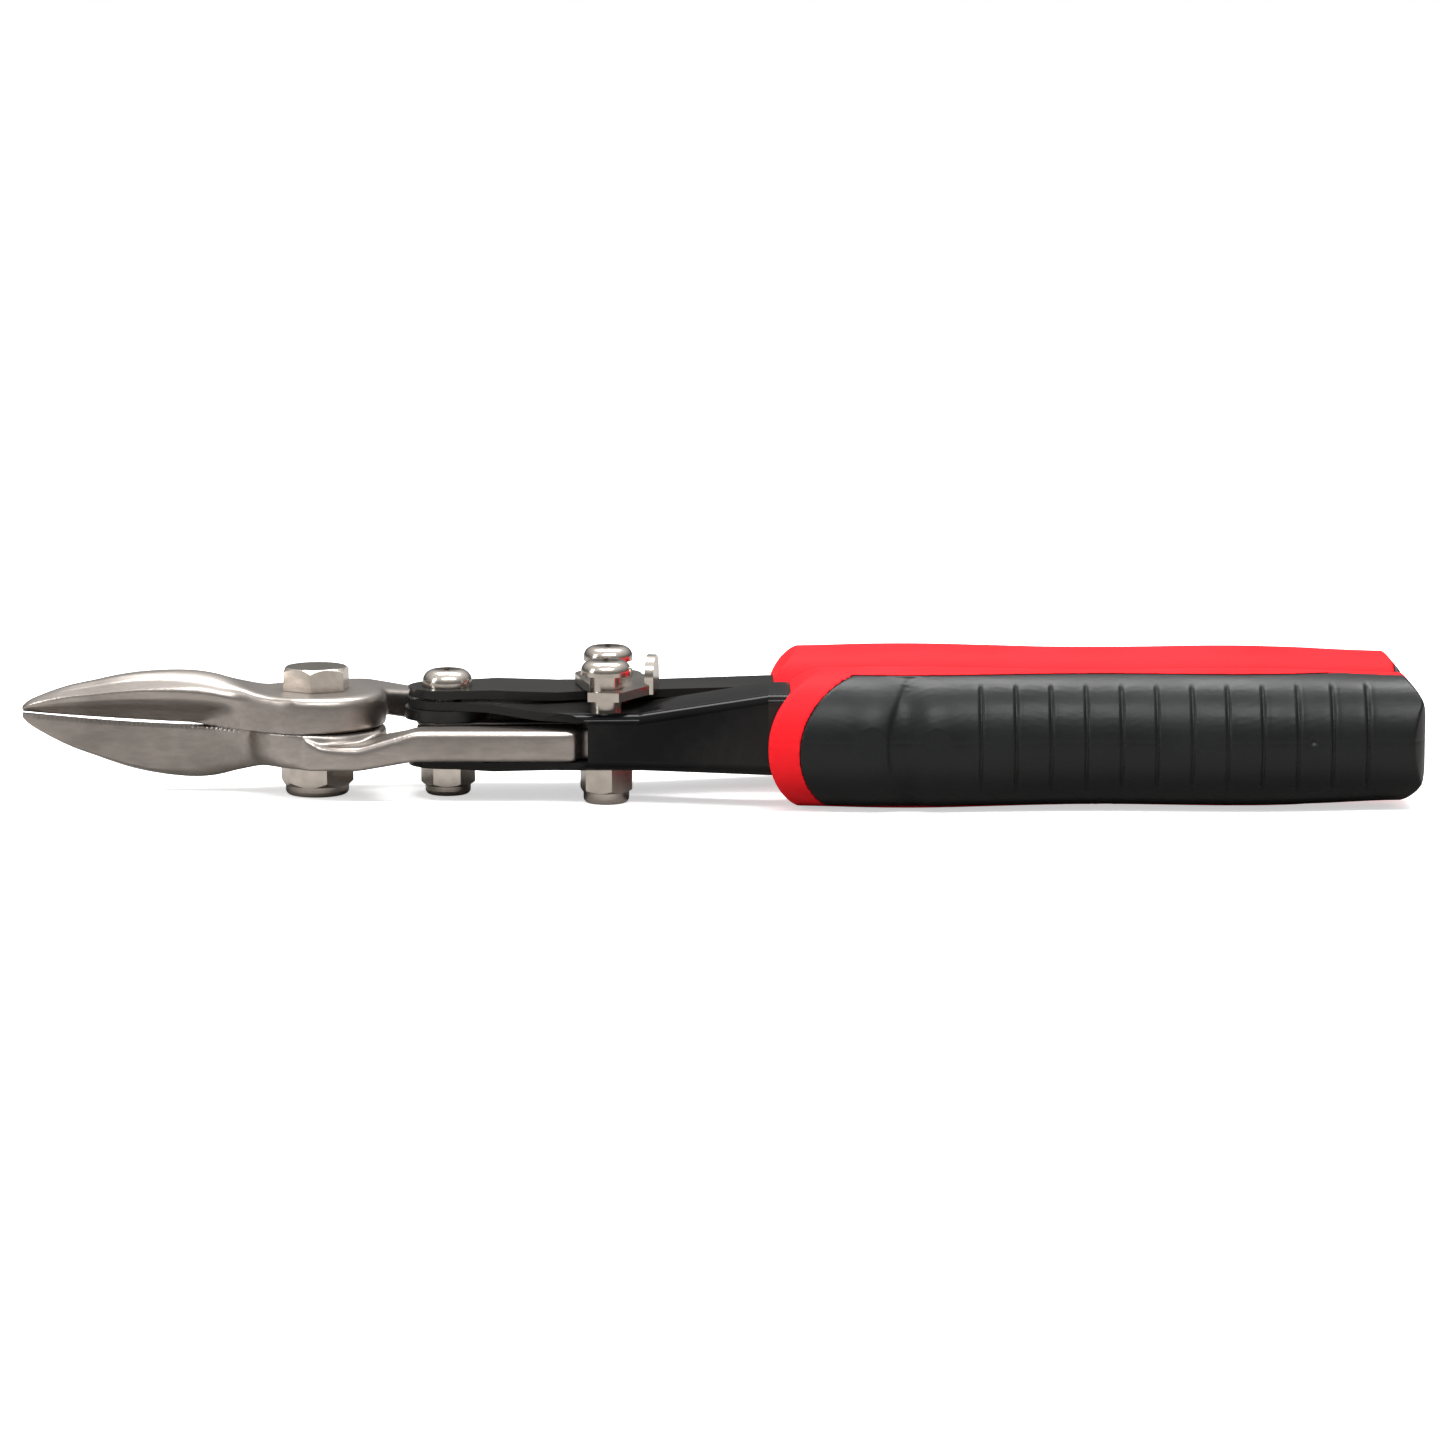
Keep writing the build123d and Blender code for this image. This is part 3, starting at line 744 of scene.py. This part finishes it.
@dataclass
class Hardware:
    """Turned, pressed and plated pieces: CAD nodes with broken edges and their finish.

    Args:
        chamfer: Width of the broken edges.
        edge_angle: Edges sharper than this are broken.
        nickel: Nodes that are nickel plated.
        nylon: Nodes of plain nylon.
        spring: Nodes of spring steel.
        black: Nodes of black nylon.
        enamel: Nodes that are painted.
    """

    chamfer: float = 0.18 * MM
    edge_angle: float = math.radians(32)
    nickel: tuple[str, ...] = (
        "main_pivot_bolt", "main_pivot_nut", "handle_pivot_screw", "handle_pivot_nut",
        "near_tang_screw", "near_tang_nut", "far_tang_screw", "far_tang_nut",
        "near_lower_spacer", "near_upper_spacer", "far_upper_spacer", "latch_plate",
    )
    nylon: tuple[str, ...] = ("main_nut_insert", "handle_nut_insert", "near_nut_insert", "far_nut_insert")
    spring: tuple[str, ...] = ("latch_spring_washer", "near_tang_washer", "far_tang_washer")
    black: tuple[str, ...] = ("spring_bush",)
    enamel: tuple[str, ...] = ("near_handle_channel", "far_handle_channel")

    def build(self, shop: Workshop) -> None:
        """Finishes each node and breaks its edges."""
        groups = (
            (self.nickel, Slot.NICKEL),
            (self.nylon, Slot.NYLON),
            (self.spring, Slot.SPRING),
            (self.black, Slot.BLACK_NYLON),
            (self.enamel, Slot.ENAMEL),
        )
        for nodes, slot in groups:
            for node in nodes:
                obj = shop.frame["nodes"][node]
                shop.dress(obj, slot)
                bevel = obj.modifiers.new("broken_edges", "BEVEL")
                bevel.width = self.chamfer
                bevel.segments = 3
                bevel.limit_method = "ANGLE"
                bevel.angle_limit = self.edge_angle
                bevel.harden_normals = False
                LOG.info("hardware %s", node)


@dataclass
class OpeningSpring:
    """The torsion spring between the handles: a copy of its CAD node with the spring finish, not attached to
    either handle.

    Args:
        turn_width: Width of the band across the pivot in which the wire turns; not used.
    """

    turn_width: float = 4.0 * MM

    def build(self, shop: Workshop) -> None:
        """Makes the spring."""
        source = shop.frame["nodes"]["handle_spring"]
        obj = mesh_object("handle_spring_wire", source.data.copy())
        shop.dress(obj, Slot.SPRING)
        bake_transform(obj)
        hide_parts("handle_spring")
        LOG.info("piece %s: %d faces", obj.name, len(obj.data.polygons))


@dataclass
class Studio:
    """Floor, lights and camera.

    Args:
        elevation: Angle of the camera above the floor.
        distance: From the camera to its target.
        width: Width of the view at the target.
        sensor: Width of the camera's sensor in millimetres.
        target: What the camera looks at.
        floor_half: Half of the floor's width.
        floor_bounce: Colour of the floor as the object sees it.
        floor_glow: Light that keeps the floor pale where it is seen directly.
        horizon: Brightness of the surroundings level with the object.
        zenith: Their brightness overhead.
    """

    elevation: float = math.radians(9.0)
    distance: float = 0.95
    width: float = 0.2582
    sensor: float = 36.0
    target: tuple[float, float, float] = (0.0009, 0.0, 0.0128)
    floor_half: float = 6.0
    floor_bounce: tuple = rgb(0.34, 0.33, 0.32)
    floor_glow: float = 0.55
    horizon: float = 0.12
    zenith: float = 0.90

    def build(self) -> None:
        """Builds the set around the object."""
        self._floor()
        self._world()
        self._lights()
        self._camera()

    def _floor(self) -> None:
        """A wide pale floor that throws little light back onto the object."""
        mesh = bpy.data.meshes.new("floor")
        half = self.floor_half
        corners = [(-half, -half, 0), (half, -half, 0), (half, half, 0), (-half, half, 0)]
        mesh.from_pydata(corners, [], [(0, 1, 2, 3)])
        floor = mesh_object("floor", mesh, None)
        material, graph, shader = start_material("floor_white")
        direct = graph.add("ShaderNodeLightPath").outputs["Is Camera Ray"]
        noise = graph.add("ShaderNodeTexNoise", {"Scale": 8.0})
        pale = graph.mix(noise.outputs[0], rgb(0.94, 0.94, 0.94), rgb(0.97, 0.97, 0.97))
        graph.tree.links.new(graph.mix(direct, self.floor_bounce, pale), shader.inputs["Base Color"])
        shader.inputs["Roughness"].default_value = 0.9
        shader.inputs["Specular IOR Level"].default_value = 0.0
        shader.inputs["Emission Color"].default_value = rgb(1.0, 1.0, 1.0)
        glow = graph.math("MULTIPLY", direct, self.floor_glow)
        graph.tree.links.new(glow, shader.inputs["Emission Strength"])
        mesh.materials.append(material)

    def _world(self) -> None:
        """White seen directly; to the object, bright overhead and dim round the horizon."""
        world = bpy.data.worlds.new("studio_white")
        world.use_nodes = True
        graph = Graph(world.node_tree)
        background = world.node_tree.nodes["Background"]
        direction = graph.add("ShaderNodeTexCoord").outputs["Generated"]
        up = graph.add("ShaderNodeSeparateXYZ", {0: direction}).outputs[2]
        sky = graph.remap(up, 0.15, 0.75, (self.horizon, self.zenith))
        grey = graph.add("ShaderNodeCombineColor", {0: sky, 1: sky, 2: sky}).outputs[0]
        direct = graph.add("ShaderNodeLightPath").outputs["Is Camera Ray"]
        seen = graph.mix(direct, grey, rgb(1.0, 1.0, 1.0))
        graph.tree.links.new(seen, background.inputs["Color"])
        bpy.context.scene.world = world

    def _lights(self) -> None:
        """A large softbox above, a long strip in front and a weak one on the left."""
        self._softbox("top_softbox", (0.0, 0.16, 0.60), (0.60, 0.22), 5.2)
        self._softbox("front_strip", (0.05, -0.42, 0.50), (0.60, 0.07), 2.8)
        self._softbox("left_strip", (-0.50, -0.20, 0.22), (0.06, 0.30), 0.7)

    def _softbox(self, name: str, at: tuple, size: tuple, watts: float) -> None:
        """One rectangular light that faces the object.

        Args:
            name: The light's name.
            at: Its place.
            size: Its width and height.
            watts: Its power.
        """
        light = bpy.data.lights.new(name, "AREA")
        light.shape = "RECTANGLE"
        light.size, light.size_y = size
        light.energy = watts
        obj = bpy.data.objects.new(name, light)
        obj.location = at
        obj.rotation_euler = (Vector((0, 0, SHEAR_HEIGHT)) - Vector(at)).to_track_quat("-Z", "Y").to_euler()
        bpy.context.scene.collection.objects.link(obj)

    def _camera(self) -> None:
        """The camera looks along +Y and a little down."""
        camera = bpy.data.cameras.new("camera")
        camera.sensor_width = self.sensor
        camera.lens = self.sensor * self.distance / self.width
        obj = bpy.data.objects.new("camera", camera)
        back = Vector((0.0, -math.cos(self.elevation), math.sin(self.elevation))) * self.distance
        obj.location = Vector(self.target) + back
        obj.rotation_euler = (math.pi / 2 - self.elevation, 0.0, 0.0)
        bpy.context.scene.collection.objects.link(obj)
        bpy.context.scene.camera = obj


def main() -> None:
    """Builds every sub-assembly in order."""
    logging.basicConfig(level=logging.INFO, format="%(name)s: %(message)s")
    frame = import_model()
    shop = Workshop(frame)
    Hardware().build(shop)
    Blade("upper_blade", 1).build(shop)
    Blade("lower_blade", -1).build(shop)
    for side in Side:
        Grip(side).build(shop)
    OpeningSpring().build(shop)
    Studio().build()
    bpy.context.scene.view_settings.view_transform = "Standard"


if __name__ == "__main__":
    main()
